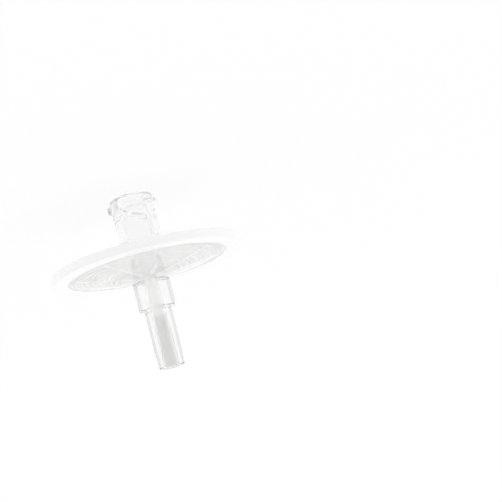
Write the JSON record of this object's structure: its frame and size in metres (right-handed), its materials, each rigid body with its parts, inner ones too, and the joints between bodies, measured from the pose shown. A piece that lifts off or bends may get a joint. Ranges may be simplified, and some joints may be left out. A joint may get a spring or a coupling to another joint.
{
  "type": "syringe filter",
  "caption": "Round disc filter for a syringe: clear moulded housings clamp a membrane and prefilter between a female lock inlet with thread flights and a tapered male slip outlet.",
  "frame": {"origin": "centre of the inlet's mouth, on the flat end that the filter stands on", "axes": "+Z along the flow axis from the inlet's mouth to the outlet's tip; +X through one of the eight radial channels"},
  "size_m": [0.03, 0.03, 0.0272],
  "materials": {
    "clear_housing": "natural polypropylene, translucent and slightly milky, smooth from the mould",
    "sealing_ring": "natural polypropylene, thick and milky, satin",
    "membrane": "white cast membrane, matte and even",
    "glass_fibre": "white glass-fibre felt, matte and fibrous"
  },
  "bodies": {
    "root": {"inlet_housing": "clear_housing", "prefilter_disc": "glass_fibre", "membrane": "membrane", "outlet_housing": "clear_housing", "sealing_ring": "sealing_ring"}
  },
  "joints": []
}
